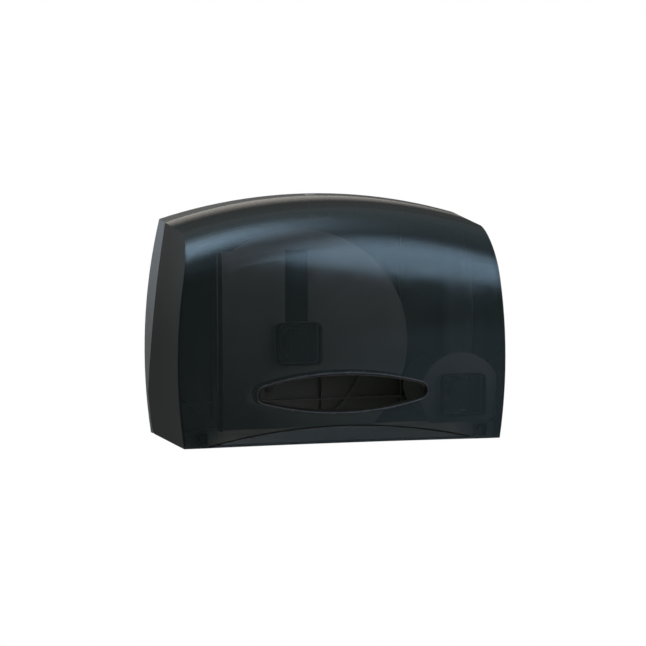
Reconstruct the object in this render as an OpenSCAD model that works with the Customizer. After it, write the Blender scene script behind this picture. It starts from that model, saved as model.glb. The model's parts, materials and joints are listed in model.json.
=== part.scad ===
// Wall-mounted jumbo toilet roll dispenser with a smoked drop-down cover.
// Frame: +X to the right, -Y towards the user, +Z up. The origin lies on the wall face,
// at the centre of the four wall screw holes.

/* [Housing] */
// Greatest width of the housing, at the belly of its barrelled sides
body_w = 360; // [340:1:380]
// Height of the arched top above the bottom edge, at the wall
body_h = 253; // [245:1:265]
// Depth from the wall to the flat front
body_d = 150; // [140:1:165]
// Radius of the barrelled sides, seen from the front
side_r = 600; // [500:10:900]
// Height of the widest place above the bottom edge
belly_z = 87; // [70:1:110]
// Radius of the arched top, seen from the front
arch_r = 570; // [480:10:800]
// Fall of the top towards the front, in degrees
top_fall = 3.2; // [2:0.1:6]
// Radius of the shoulder between the top and the front
shoulder_r = 47; // [35:1:55]
// Narrowing of each side from the wall to the front
side_draft = 2; // [0:0.5:4]
// Wall thickness of the cover
cover_wall = 3; // [2.4:0.1:4]

/* [Back plate] */
// Thickness of the back plate
plate_t = 3; // [2.5:0.5:4]
// Depth of the back plate's rim at the bottom of each side
rim_d = 9; // [7:0.5:9.5]
// Depth of the rim at its deepest place
rim_bulge_d = 38; // [30:1:44]
// Distance of that deepest place below the top of the arch
rim_bulge_drop = 93; // [78:1:110]
// Radius of the curved front edge of the rim, seen from the side
rim_bulge_r = 241.5; // [220:0.5:280]
// Gap between the rim and the cover's rear edge
rim_gap = 0.5; // [0.4:0.1:1]
// Thickness of the locating lip inside the rim
lip_t = 1.2; // [1:0.1:1.6]
// How far the lip reaches into the cover
lip_reach = 4; // [2:0.5:5]
// Clearance between the lip and the inside of the cover
lip_gap = 0.4; // [0.3:0.1:0.6]
// Height of the stiffening ribs
rib_h = 5; // [3:0.5:7]
// Thickness of the stiffening ribs
rib_t = 2; // [1.5:0.5:3]
// Distance of the outer upright rib in from the widest place
rib_side = 30; // [27:1:36]
// Distance of the other upright ribs from the main spindle
rib_step = 60; // [56:1:64]
// Distance of the lower cross rib above the bottom edge
rib_low_z = 30; // [26:1:36]
// Distance of the upper cross rib below the top of the arch
rib_high_drop = 48; // [44:1:56]

/* [Wall screws] */
// Distance between the wall screw holes across the plate
screw_dx = 150; // [140:1:180]
// Distance between the wall screw holes up the plate
screw_dz = 102; // [80:1:120]
// Height of the hole pattern's centre above the bottom edge
hang_z = 120; // [110:1:130]
// Radius of a wall screw hole
screw_hole_r = 2.6; // [2.2:0.1:3.2]

/* [Roll spindles] */
// Distance from the widest place on the left in to the main spindle
main_side = 134.4; // [128:0.1:140]
// Height of the main spindle above the bottom edge
main_z = 105.6; // [100:0.1:110]
// Distance from the widest place on the right in to the stub roll spindle
stub_side = 46.4; // [46:0.1:54]
// Height of the stub roll spindle above the bottom edge
stub_z = 46.4; // [44:0.1:52]
// Radius of the main spindle's fixed post
main_post_r = 7; // [5:0.5:8]
// Radius of the stub spindle's fixed post
stub_post_r = 6; // [5:0.5:7]
// Radius of the main hub
main_hub_r = 13; // [11:0.5:16]
// Radius of the stub hub
stub_hub_r = 11; // [9.5:0.5:13]
// Radial running clearance of each hub on its post
hub_gap = 0.05; // [0.02:0.01:0.1]
// Radius of the rear flange behind the main roll
main_flange_r = 45; // [40:1:60]
// Radius of the rear flange behind the stub roll
stub_flange_r = 32; // [25:1:34]
// Radius of the ring on the back plate that marks a full main roll
roll_ring_r = 116; // [100:1:118]
// Thickness of a rear flange
flange_t = 3; // [2:0.5:4]
// Distance from the wall to the back of the rear flanges
flange_back = 19; // [17:0.5:24]
// Width of the blade-shaped nose on a hub
nose_w = 18; // [12:1:20]
// Height of the blade-shaped nose on a hub
nose_h = 30; // [24:1:30]

/* [Stop plates] */
// Distance from the inside of the cover's front back to the stop plates' rear face
stop_set = 16.5; // [15:0.5:21]
// Thickness of the stop plates
stop_t = 2.5; // [2:0.1:3]
// Radius of the main stop plate
main_stop_r = 120.5; // [100:0.5:121]
// Radius of the stub stop plate
stub_stop_r = 44; // [30:0.5:46]
// Distance from the main spindle to the main stop plate's straight left edge
stop_left = 85.9; // [75:0.1:95]
// Clearance between the stop plates' free edges and the inside of the cover
stop_gap = 1; // [0.5:0.1:3]
// Width of the sight slot above the main collar
slot_w = 25; // [16:1:30]
// Distance of the sight slot's flat top above the main spindle
slot_rise = 98.4; // [70:0.1:106]
// Width of each rounded square collar
collar_w = 48.4; // [44:0.1:52]
// Height of each rounded square collar
collar_h = 44.6; // [44:0.1:48]
// Corner radius of the collars
collar_r = 6; // [4:0.5:9]
// Wall of the collars
collar_t = 2; // [1.5:0.1:2.5]

/* [Front openings] */
// Half the length of the hand opening
oval_a = 92; // [80:1:100]
// Half the height of the hand opening
oval_b = 20; // [16:0.5:22]
// Radius of the hand opening's two tips
oval_tip_r = 8.5; // [5:0.5:10]
// Height of the hand opening's centre above the bottom edge
oval_z = 53.5; // [48:0.5:60]
// Margin by which the main stop plate is cut back round the hand opening
oval_clear = 3; // [1:0.5:6]
// Width of the raised rim round the hand opening
oval_rim = 2.2; // [1.5:0.1:3]
// How far the rim stands proud of the front
oval_rim_proud = 0.8; // [0.4:0.1:1.2]
// Height of the bottom scoop above the bottom edge
scoop_h = 19; // [12:0.5:24]
// Half the width of the bottom scoop, where it has run down to a quarter of its height
scoop_half_w = 130; // [100:1:150]
// How far the scoop's lower edge is set back
scoop_d = 6; // [3:0.5:8]

/* [Hinge] */
// Distance from the wall to the cover's hinge axis
hinge_back = 17.5; // [17.5:0.5:22]
// Height of the hinge axis above the bottom edge
hinge_z = 8; // [8:0.5:12]
// Radius of a hinge pin
pin_r = 2.5; // [2:0.1:3]
// Radial running clearance of a pin in its lug
pin_gap = 0.05; // [0.02:0.01:0.1]
// Radius of the hinge lugs and bosses
lug_r = 6.8; // [5:0.1:7.5]
// Thickness of a hinge lug on the back plate
lug_t = 11; // [8:0.5:14]

/* [Lock] */
// Radius of the lock barrel
barrel_r = 5; // [4:0.25:5.5]
// Length of the lock barrel
barrel_l = 24; // [20:1:30]
// Distance from the wall to the lock's axis
lock_back = 11; // [10.5:0.5:12]
// Length of the cam arm from the lock's axis
cam_l = 21; // [19:0.5:24]
// Width of the cam arm
cam_w = 8; // [6:0.5:9]
// Thickness of the cam
cam_t = 2.5; // [2:0.1:3]

/* [Tear bar] */
// Depth of the channel rail along the bottom of the cover, front to back
rail_d = 22; // [16:1:28]
// Height of the channel rail
rail_h = 15; // [12:1:18]
// Wall of the channel rail
rail_t = 2; // [1.5:0.1:2.5]
// Half the length of the tear bar
tear_half_l = 150; // [120:1:160]
// Height of the tear bar from its top to the tips of its teeth
tear_h = 11; // [9:0.5:13]
// Thickness of the tear bar
tear_t = 0.8; // [0.6:0.1:1.2]
// Pitch of the teeth
tooth_pitch = 4; // [3:0.5:6]
// Depth of the teeth
tooth_d = 2; // [1.5:0.25:3]

/* [Hidden] */
$fn = 96;

half_w = body_w / 2;
main_x = main_side - half_w;
stub_x = half_w - stub_side;
big = 2 * body_w;                 // larger than the whole housing
arch_z = body_h - arch_r;         // height of the arch's centre
fit_gap = 0.05;                   // radial clearance of a seated, non-running fit
seat_gap = 0.1;                   // end clearance of a part that runs between two faces

// Shoulder: the centre of its arc in the (radius, depth) profile of the arched top
shoulder_depth = body_d - shoulder_r;
shoulder_cut = 0.1;               // the sloped top cuts this much off the shoulder's arc
shoulder_rad = arch_r - tan(top_fall) * shoulder_depth
               - (shoulder_r - shoulder_cut) / cos(top_fall);
arch_inner = arch_r / 2;          // hollow core of the turned arch, below the housing

// Rim of the back plate and what it carries
rim_bulge_y = rim_bulge_r - rim_bulge_d;
rim_bulge_z = body_h - rim_bulge_drop;
rim_wall = cover_wall + lip_gap + lip_t;
lip_foot_rise = 18;               // the lip starts this far above the hinge
lip_from_z = hinge_z + lip_foot_rise;
rib_foot_z = 14;
rib_end = 9;                      // upright ribs run this far past the upper cross rib
rib_high_z = body_h - rib_high_drop;
rib_xs = [rib_side - half_w, main_x - rib_step, main_x + rib_step, stub_x - rib_step / 2];
cross_rib_side = 20;              // distance of the cross ribs' ends in from the widest place
top_z_at_lock = body_h - tan(top_fall) * lock_back;

// Spindles: distances from the wall
cover_inner = body_d - cover_wall;
stop_rear = cover_inner - stop_set;
stop_front = stop_rear + stop_t;
boss_h = 5;
boss_edge = 5;                    // boss beyond the post's foot flange
boss_front = plate_t + boss_h;
screw_r = 1.6;
screw_head_r = 3;
screw_head_t = 1.6;
screw_end_gap = 0.5;              // between a screw's tip and the floor of its hole
post_flange_t = 3;
post_flange_edge = 4.5;           // foot flange beyond its ring of screws
washer_w = 3;
washer_t = 0.8;
ring_gap = 1.5;                   // between the thrust washer and the foot screws' heads
main_ring_r = main_post_r + washer_w + ring_gap + screw_head_r;
stub_ring_r = stub_post_r + washer_w + ring_gap + screw_head_r;
post_flange_front = boss_front + post_flange_t;
hub_back = post_flange_front + washer_t + 2 * seat_gap;
hub_set = 13.5;                   // the hub ends this far behind the stop plate
hub_front = stop_rear - hub_set;
clip_t = 1;
clip_w = 2;                       // the clip stands this far off the post
clip_groove_d = 0.8;
clip_back = hub_front + seat_gap;
post_end = 1.5;                   // the post beyond its clip
post_front = clip_back + clip_t + post_end;
nose_pocket_w = 2.5;              // the nose's pocket clears the post and clip by this
nose_pocket_end = 0.5;
nose_cap_t = 2;
nose_skirt_front = post_front + nose_cap_t;
nose_corner_r = 3;
main_nose_reach = 1.5;            // the main nose stands this far into its collar
stub_nose_back = 0.5;             // the stub nose stops this far behind its plate
main_nose_front = stop_rear + main_nose_reach;
stub_nose_front = stop_rear - stub_nose_back;
hub_neck = 2.2;                   // the hub is this much thinner in its flange
flange_lip_w = 6;
flange_lip_t = 2;
flange_bead_w = 2;
flange_bead_t = 1;
grip_r = 1.6;                     // grooves along the hub that grip the roll
grip_end = 6;

// Stop plates
stop_left_x = main_x - stop_left;
slot_top_z = main_z + slot_rise;  // also the upper corner of the straight left edge

// Hand opening: radius of its long arcs, tangent to the tip arcs
oval_r = (pow(oval_a - oval_tip_r, 2) + oval_b * oval_b - oval_tip_r * oval_tip_r)
         / (2 * (oval_b - oval_tip_r));
scoop_r = (pow(scoop_half_w, 2) + pow(0.75 * scoop_h, 2)) / (1.5 * scoop_h);

// Hinge: places along X
side_inner_x = half_w - pow(belly_z - hinge_z, 2) / (2 * side_r) - cover_wall;
lug_side_gap = 7.5;               // between a lug and the inside of the cover's side
lug_outer_x = side_inner_x - lug_side_gap;
lug_inner_x = lug_outer_x - lug_t;
hinge_boss_gap = 0.5;             // between a lug and the boss beside it
pin_seat_d = 1;                   // how far a pin reaches into the side wall

// Lock
sleeve_t = 1.8;
sleeve_r = barrel_r + sleeve_t;
sleeve_rise = 1;                  // the sleeve starts this far above the barrel's foot
sleeve_short = 1.2;
lock_housing_t = 1;
lock_housing_r = sleeve_r + lock_housing_t;
lock_housing_h = 18;
lock_housing_drop = 2;
barrel_drop = 0.6;
barrel_top_z = top_z_at_lock - barrel_drop;
barrel_foot_z = barrel_top_z - barrel_l;
housing_foot_z = top_z_at_lock - lock_housing_drop - lock_housing_h;
nut_t = 2.5;
nut_edge = 1.4;
key_w = 6;
key_t = 1.4;
key_d = 8;
cam_screw_l = 5;                  // thread of the cam's screw inside the barrel
cam_top_z = barrel_foot_z;
finger_h = 6;                     // rise of the cam's finger in front of the strike
finger_t = 3;
strike_back = 26;                 // distance from the wall to the strike's rear face
strike_t = 2.5;
strike_w = 24;
strike_h = 8;
strike_leg_w = 9;
strike_screw_x = 8;
strike_lug_w = 8;
strike_screw_l = 5;

// Rail
rail_set = 3;                     // the rail stands this far behind the scooped wall
rail_front = body_d - scoop_d - cover_wall - rail_set;
rail_foot_z = 1.5;
stop_foot_z = rail_foot_z + rail_h; // both stop plates stand on the rail
rail_end_gap = 1.2;               // between the rail's ends and the inside of the sides
rail_half_l = side_inner_x - side_draft - rail_end_gap;
rail_screw_side = 16.6;
rail_screw_x = rail_half_l - rail_screw_side;
rail_screw_z = rail_foot_z + rail_h / 2;
rail_screw_l = 6;
rail_pad_w = 12;
rail_pad_edge = 1;
tear_back = rail_front - rail_d;
rivet_r = 1.5;
rivet_head_w = 0.9;
rivet_head_t = 0.7;
rivet_drop = 2;                   // the rivets sit this far below the tear bar's top
rivet_end = 30;                   // the outer rivets sit this far in from its ends
rivet_z = rail_foot_z + tear_h - rivet_drop;
rivet_xs = [for (i = [-1, -1 / 3, 1 / 3, 1]) i * (tear_half_l - rivet_end)];

// Moves a shape drawn above the bottom edge into the frame of the wall screws
module hung() {
  translate([0, 0, -hang_z]) children();
}

// Extrudes a front-view outline between two distances from the wall
module slab(back, front) {
  translate([0, -back, 0]) rotate([90, 0, 0]) linear_extrude(front - back) children();
}

// Round rod along Y between two distances from the wall
module rod(x, z, back, front, r) {
  translate([x, -back, z]) rotate([90, 0, 0]) cylinder(h = front - back, r = r);
}

// Round rod along X between two places
module cross_rod(x_low, x_high, back, z, r) {
  translate([x_low, -back, z]) rotate([0, 90, 0]) cylinder(h = x_high - x_low, r = r);
}

// Box given by its extents in X, distance from the wall, and Z
module block(x_low, x_high, back, front, z_low, z_high) {
  translate([x_low, -front, z_low]) cube([x_high - x_low, front - back, z_high - z_low]);
}

// Rectangle with round corners, centred
module round_rect(w, h, r) {
  square([w - 2 * r, h], center = true);
  square([w, h - 2 * r], center = true);
  for (sx = [-1, 1], sy = [-1, 1])
    translate([sx * (w / 2 - r), sy * (h / 2 - r)]) circle(r);
}

// Profile of the arched top and flat front, as radius from the arch's centre against depth
module arch_profile(inset, back) {
  rs = shoulder_r - inset;
  line_start = arch_r - inset / cos(top_fall) - tan(top_fall) * back;
  line_end = arch_r - inset / cos(top_fall) - tan(top_fall) * body_d;
  intersection() {
    polygon([
      [arch_inner, back],
      [line_start, back],
      [line_end, body_d],
      [arch_inner, body_d]
    ]);
    union() {
      translate([arch_inner, back])
        square([arch_r - arch_inner + 20, shoulder_depth + rs * sin(top_fall) - back]);
      translate([arch_inner, back])
        square([shoulder_rad - arch_inner, body_d - inset - back]);
      translate([shoulder_rad, shoulder_depth]) circle(rs);
    }
  }
}

// One barrelled side, as the inside of a slightly tapered cylinder
module barrel_side(side, inset) {
  slope = side_draft / body_d;
  translate([side * (half_w - side_r), 5, belly_z]) rotate([90, 0, 0])
    cylinder(h = body_d + 10, r1 = side_r - inset + 5 * slope,
             r2 = side_r - inset - (body_d + 5) * slope, $fn = 240);
}

// Full form of the housing, drawn in by an inset, from a given height and depth
module form(inset, foot_z, back) {
  intersection() {
    barrel_side(-1, inset);
    barrel_side(1, inset);
    translate([0, 0, arch_z]) rotate([90, 0, 0])
      rotate_extrude($fn = 240) arch_profile(inset, back);
    block(-half_w - 20, half_w + 20, back - 5, body_d + 5, foot_z, body_h + 20);
  }
}

// Everything behind the curved line where the rim ends
module rim_zone(gap) {
  block(-big / 2, big / 2, -1, rim_d + gap, -10, body_h + 10);
  translate([0, rim_bulge_y, rim_bulge_z]) rotate([0, 90, 0])
    cylinder(h = big, r = rim_bulge_r + gap, center = true, $fn = 240);
}

// Hand opening outline, grown by a margin
module oval(grow) {
  tangent_x = (oval_a - oval_tip_r) * (oval_r + grow) / (oval_r - oval_tip_r);
  intersection() {
    translate([0, oval_b - oval_r]) circle(oval_r + grow, $fn = 240);
    translate([0, oval_r - oval_b]) circle(oval_r + grow, $fn = 240);
    square([2 * tangent_x, 4 * oval_b], center = true);
  }
  for (side = [-1, 1]) translate([side * (oval_a - oval_tip_r), 0]) circle(oval_tip_r + grow);
}

// Cone that cuts the bottom scoop, moved inwards by an inset
module scoop_cone(inset) {
  cone_d = scoop_d + 2;
  translate([0, -body_d + scoop_d + 1 + inset, scoop_h - scoop_r])
    rotate([90, 0, 0])
      cylinder(h = cone_d + inset, r1 = scoop_r - scoop_h - scoop_h / scoop_d + inset,
               r2 = scoop_r + scoop_h / scoop_d + inset, $fn = 240);
}

// ---- Back plate ----

module wall_holes() {
  for (sx = [-1, 1], sz = [-1, 1])
    rod(sx * screw_dx / 2, hang_z + sz * screw_dz / 2, -1, plate_t + 1, screw_hole_r);
}

module post_screw_spots(x, z, ring_r) {
  for (turn = [90, 210, 330])
    translate([x + ring_r * cos(turn), 0, z + ring_r * sin(turn)]) children();
}

module back_plate() {
  color("dimgray") hung() difference() {
    union() {
      difference() {
        union() {
          intersection() {
            form(0, 0, 0);
            rim_zone(0);
          }
          intersection() {
            form(cover_wall + lip_gap, lip_from_z, 1);
            rim_zone(lip_reach);
          }
        }
        form(rim_wall, -2, plate_t);
      }
      // Bosses under the two spindle posts
      rod(main_x, main_z, plate_t - 1, boss_front, main_ring_r + post_flange_edge + boss_edge);
      rod(stub_x, stub_z, plate_t - 1, boss_front, stub_ring_r + post_flange_edge + boss_edge);
      // Stiffening ribs
      for (x = rib_xs)
        block(x - rib_t / 2, x + rib_t / 2, plate_t - 1, plate_t + rib_h,
              rib_foot_z, rib_high_z + rib_end);
      for (z = [rib_low_z, rib_high_z])
        block(cross_rib_side - half_w, half_w - cross_rib_side, plate_t - 1, plate_t + rib_h,
              z - rib_t / 2, z + rib_t / 2);
      // Ring that marks the full roll's size
      difference() {
        intersection() {
          rod(main_x, main_z, plate_t - 1, plate_t + rib_h, roll_ring_r);
          block(-half_w, half_w, 0, plate_t + 2 * rib_h, rib_foot_z, body_h);
        }
        rod(main_x, main_z, 0, plate_t + rib_h + 1, roll_ring_r - rib_t);
      }
      // Hinge lugs
      for (side = [-1, 1]) {
        low_x = side > 0 ? lug_inner_x : -lug_outer_x;
        cross_rod(low_x, low_x + lug_t, hinge_back, hinge_z, lug_r);
        block(low_x, low_x + lug_t, plate_t - 1, hinge_back, hinge_z - lug_r, hinge_z + lug_r);
      }
      // Lock housing under the arched top
      translate([0, -lock_back, housing_foot_z])
        cylinder(h = lock_housing_h, r = lock_housing_r);
      block(-lock_housing_r, lock_housing_r, plate_t - 1, lock_back,
            housing_foot_z, housing_foot_z + lock_housing_h);
    }
    wall_holes();
    post_screw_spots(main_x, main_z, main_ring_r)
      rod(0, 0, plate_t, boss_front + 1, screw_r + fit_gap);
    post_screw_spots(stub_x, stub_z, stub_ring_r)
      rod(0, 0, plate_t, boss_front + 1, screw_r + fit_gap);
    for (side = [-1, 1])
      cross_rod(side > 0 ? lug_inner_x - 1 : -lug_outer_x - 1,
                side > 0 ? lug_outer_x + 1 : 1 - lug_inner_x,
                hinge_back, hinge_z, pin_r + pin_gap);
    // Seat of the lock sleeve
    translate([0, -lock_back, housing_foot_z - 1])
      cylinder(h = body_h, r = sleeve_r + fit_gap);
    // Blind hole for the brake leaf's screw
    rod(main_x, brake_foot_z, plate_t - brake_hole_d, plate_t + 1, screw_r + fit_gap);
  }
}

// ---- Spindles ----

// Fixed post with a screwed foot flange and a clip groove near its front end
module post(x, z, post_r, ring_r) {
  difference() {
    union() {
      rod(x, z, boss_front, post_flange_front, ring_r + post_flange_edge);
      rod(x, z, boss_front, post_front, post_r);
    }
    post_screw_spots(x, z, ring_r)
      rod(0, 0, boss_front - 1, post_flange_front + 1, screw_r + fit_gap);
    difference() {
      rod(x, z, clip_back, clip_back + clip_t + seat_gap, post_r + 1);
      rod(x, z, clip_back - 1, clip_back + clip_t + 1, post_r - clip_groove_d);
    }
  }
}

// Screws of a post's foot flange; the heads sit beside the thrust washer
module post_screws(x, z, ring_r) {
  post_screw_spots(x, z, ring_r) {
    rod(0, 0, plate_t + screw_end_gap, post_flange_front, screw_r);
    rod(0, 0, post_flange_front, post_flange_front + screw_head_t, screw_head_r);
  }
}

module thrust_washer(x, z, post_r) {
  difference() {
    rod(x, z, post_flange_front + seat_gap, hub_back - seat_gap, post_r + washer_w);
    rod(x, z, post_flange_front - 1, hub_back + 1, post_r + fit_gap);
  }
}

// Open retaining clip that sits in the post's groove
module circlip(x, z, post_r) {
  difference() {
    rod(x, z, clip_back + seat_gap / 2, clip_back + clip_t + seat_gap / 2, post_r + clip_w);
    rod(x, z, clip_back - 1, clip_back + clip_t + 1, post_r - clip_groove_d + fit_gap);
    block(x - clip_w, x + clip_w, clip_back - 1, clip_back + clip_t + 1,
          z - post_r - 2 * clip_w, z);
  }
}

// Turning sleeve with four shallow grooves that grip the roll
module hub(x, z, post_r, hub_r) {
  difference() {
    union() {
      rod(x, z, flange_back + flange_t, hub_front, hub_r);
      rod(x, z, hub_back, flange_back + flange_t, hub_r - hub_neck);
    }
    rod(x, z, hub_back - 1, hub_front + 1, post_r + hub_gap);
    for (turn = [45:90:315])
      translate([x + hub_r * cos(turn), 0, z + hub_r * sin(turn)])
        rod(0, 0, flange_back + flange_t + grip_end, hub_front - grip_end, grip_r);
  }
}

// Thin disc behind the roll, with a seat for the hub and a raised outer bead
module rear_flange(x, z, hub_r, flange_r) {
  difference() {
    union() {
      rod(x, z, flange_back, flange_back + flange_t, flange_r);
      rod(x, z, flange_back - flange_lip_t, flange_back, hub_r + flange_lip_w);
      difference() {
        rod(x, z, flange_back + 1, flange_back + flange_t + flange_bead_t, flange_r);
        rod(x, z, flange_back, flange_back + flange_t + 2 * flange_bead_t,
            flange_r - flange_bead_w);
      }
    }
    rod(x, z, flange_back - 2 * flange_lip_t, flange_back + flange_t + 1,
        hub_r - hub_neck + fit_gap);
  }
}

// Cap on the hub's front end, with a blade that guides the roll on
module nose(x, z, post_r, hub_r, nose_front) {
  difference() {
    union() {
      rod(x, z, hub_front, nose_skirt_front, hub_r);
      slab(nose_skirt_front, nose_front)
        translate([x, z]) round_rect(nose_w, nose_h, nose_corner_r);
    }
    rod(x, z, hub_front - 1, post_front + nose_pocket_end, post_r + nose_pocket_w);
  }
}

module main_post() {
  color("silver") hung() post(main_x, main_z, main_post_r, main_ring_r);
}
module main_post_screws() {
  color("silver") hung() post_screws(main_x, main_z, main_ring_r);
}
module main_thrust_washer() {
  color("ivory") hung() thrust_washer(main_x, main_z, main_post_r);
}
module main_circlip() {
  color("gray") hung() circlip(main_x, main_z, main_post_r);
}
module main_hub() {
  color("gray") hung() hub(main_x, main_z, main_post_r, main_hub_r);
}
module main_rear_flange() {
  color("gray") hung() rear_flange(main_x, main_z, main_hub_r, main_flange_r);
}
module main_nose() {
  color("gray") hung() nose(main_x, main_z, main_post_r, main_hub_r, main_nose_front);
}
module stub_post() {
  color("silver") hung() post(stub_x, stub_z, stub_post_r, stub_ring_r);
}
module stub_post_screws() {
  color("silver") hung() post_screws(stub_x, stub_z, stub_ring_r);
}
module stub_thrust_washer() {
  color("ivory") hung() thrust_washer(stub_x, stub_z, stub_post_r);
}
module stub_circlip() {
  color("gray") hung() circlip(stub_x, stub_z, stub_post_r);
}
module stub_hub() {
  color("gray") hung() hub(stub_x, stub_z, stub_post_r, stub_hub_r);
}
module stub_rear_flange() {
  color("gray") hung() rear_flange(stub_x, stub_z, stub_hub_r, stub_flange_r);
}
module stub_nose() {
  color("gray") hung() nose(stub_x, stub_z, stub_post_r, stub_hub_r, stub_nose_front);
}

// ---- Overrun brake behind the main rear flange ----

brake_leaf_t = 0.8;
brake_leaf_w = 14;
brake_tab = 8;                    // half the length of the leaf's flat foot and head
brake_corner = 0.3;               // shift of the bends between its two faces
brake_pad_t = 3;
brake_pad_r = 6;
brake_pad_side = 9;               // distance of the pad in from the flange's edge
brake_pad_gap = 0.3;
brake_foot_drop = 19;             // distance of the leaf's screw below the flange's edge
brake_hole_d = 1.5;
brake_foot_z = main_z - main_flange_r - brake_foot_drop;
brake_pad_z = main_z - main_flange_r + brake_pad_side;
brake_pad_front = flange_back - brake_pad_gap;
brake_leaf_front = brake_pad_front - brake_pad_t;

module brake_leaf() {
  color("silver") hung() difference() {
    translate([main_x - brake_leaf_w / 2, 0, 0]) rotate([90, 0, 90])
      linear_extrude(brake_leaf_w) polygon([
        [-plate_t, brake_foot_z - brake_tab],
        [-plate_t, brake_foot_z + brake_tab],
        [-brake_leaf_front + brake_leaf_t, brake_pad_z - brake_tab],
        [-brake_leaf_front + brake_leaf_t, brake_pad_z + brake_tab],
        [-brake_leaf_front, brake_pad_z + brake_tab],
        [-brake_leaf_front, brake_pad_z - brake_tab - brake_corner],
        [-plate_t - brake_leaf_t, brake_foot_z + brake_tab - brake_corner],
        [-plate_t - brake_leaf_t, brake_foot_z - brake_tab]
      ]);
    rod(main_x, brake_foot_z, 0, plate_t + 2 * brake_leaf_t, screw_r + fit_gap);
  }
}
module brake_pad() {
  color("black") hung() rod(main_x, brake_pad_z, brake_leaf_front, brake_pad_front, brake_pad_r);
}
module brake_screw() {
  color("silver") hung() {
    rod(main_x, brake_foot_z, plate_t - brake_hole_d + seat_gap, plate_t + brake_leaf_t,
        screw_r);
    rod(main_x, brake_foot_z, plate_t + brake_leaf_t,
        plate_t + brake_leaf_t + screw_head_t, screw_head_r);
  }
}

// ---- Lock ----

module lock_sleeve() {
  color("silver") hung() translate([0, -lock_back, 0]) difference() {
    translate([0, 0, barrel_foot_z + sleeve_rise])
      cylinder(h = barrel_l - sleeve_short, r = sleeve_r);
    translate([0, 0, barrel_foot_z]) cylinder(h = barrel_l + 1, r = barrel_r + fit_gap);
  }
}
module lock_nut() {
  color("silver") hung() translate([0, -lock_back, housing_foot_z - nut_t]) difference() {
    cylinder(h = nut_t, r = sleeve_r + nut_edge, $fn = 6);
    translate([0, 0, -1]) cylinder(h = nut_t + 2, r = sleeve_r + fit_gap);
  }
}
module lock_barrel() {
  color("goldenrod") hung() translate([0, -lock_back, 0]) difference() {
    translate([0, 0, barrel_foot_z]) cylinder(h = barrel_l, r = barrel_r);
    translate([-key_w / 2, -key_t / 2, barrel_top_z - key_d]) cube([key_w, key_t, key_d + 1]);
    translate([0, 0, barrel_foot_z - 1])
      cylinder(h = cam_screw_l + 2, r = screw_r + fit_gap);
  }
}
// The cam points sideways when unlocked. When locked it points forwards, with its finger
// standing in front of the strike's leg.
module lock_cam() {
  color("silver") hung() translate([0, -lock_back, cam_top_z - cam_t]) difference() {
    union() {
      cylinder(h = cam_t, r = cam_w / 2 + 1);
      translate([0, -cam_w / 2, 0]) cube([cam_l - cam_w / 2, cam_w, cam_t]);
      translate([cam_l - cam_w / 2, -cam_w / 2, 0]) cube([cam_w / 2 + finger_t, cam_w, cam_t]);
      translate([cam_l, -cam_w / 2, 0]) cube([finger_t, cam_w, cam_t + finger_h]);
    }
    translate([0, 0, -1]) cylinder(h = cam_t + 2, r = screw_r + fit_gap);
  }
}
module cam_screw() {
  color("silver") hung() translate([0, -lock_back, cam_top_z - cam_t]) {
    translate([0, 0, -screw_head_t]) cylinder(h = screw_head_t, r = screw_head_r);
    cylinder(h = cam_t + cam_screw_l, r = screw_r);
  }
}

// ---- Cover and what it carries ----

module cover() {
  color([0.16, 0.19, 0.2, 0.55]) hung() difference() {
    union() {
      difference() {
        form(0, 0, 2);
        difference() {
          form(cover_wall, -2, 1);
          scoop_cone(cover_wall);
        }
        rim_zone(rim_gap);
        // Lower rear corners, rounded about the hinge axis
        difference() {
          block(-big / 2, big / 2, 0, hinge_back, -1, hinge_z);
          cross_rod(-big / 2, big / 2, hinge_back, hinge_z, hinge_z);
        }
      }
      // Rim round the hand opening
      slab(cover_inner - 2, body_d + oval_rim_proud)
        translate([0, oval_z]) oval(oval_rim);
      // Hinge bosses on the inside of the side walls
      intersection() {
        form(cover_wall / 2, 0, 4);
        for (side = [-1, 1])
          cross_rod(side > 0 ? lug_outer_x + hinge_boss_gap : -half_w,
                    side > 0 ? half_w : -lug_outer_x - hinge_boss_gap,
                    hinge_back, hinge_z, lug_r);
      }
      // Pads behind the front that take the rail's screws
      for (side = [-1, 1])
        block(side * rail_screw_x - rail_pad_w / 2, side * rail_screw_x + rail_pad_w / 2,
              rail_front, body_d - cover_wall / 3,
              rail_foot_z + rail_pad_edge, rail_foot_z + rail_h - rail_pad_edge);
      // Two lugs that take the strike's screws
      intersection() {
        form(cover_wall / 2, 0, 4);
        for (side = [-1, 1])
          block(side * strike_screw_x - strike_lug_w / 2,
                side * strike_screw_x + strike_lug_w / 2,
                strike_back + strike_t, strike_back + strike_t + strike_lug_w,
                strike_head_z, body_h);
      }
    }
    slab(cover_inner - 4, body_d + 2) translate([0, oval_z]) oval(0);
    for (side = [-1, 1])
      rod(side * rail_screw_x, rail_screw_z, rail_front - 1,
          rail_front + rail_screw_l + screw_end_gap, screw_r + fit_gap);
    scoop_cone(0);
    for (side = [-1, 1])
      cross_rod(side > 0 ? lug_outer_x : -side_inner_x - cover_wall / 2,
                side > 0 ? side_inner_x + cover_wall / 2 : -lug_outer_x,
                hinge_back, hinge_z, pin_r + fit_gap);
    for (side = [-1, 1])
      rod(side * strike_screw_x, strike_screw_z, strike_back,
          strike_back + strike_t + strike_screw_l + screw_end_gap, screw_r + fit_gap);
  }
}

module hinge_pins() {
  color("silver") hung() for (side = [-1, 1])
    cross_rod(side > 0 ? lug_inner_x : -side_inner_x - pin_seat_d,
              side > 0 ? side_inner_x + pin_seat_d : -lug_inner_x, hinge_back, hinge_z, pin_r);
}

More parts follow.
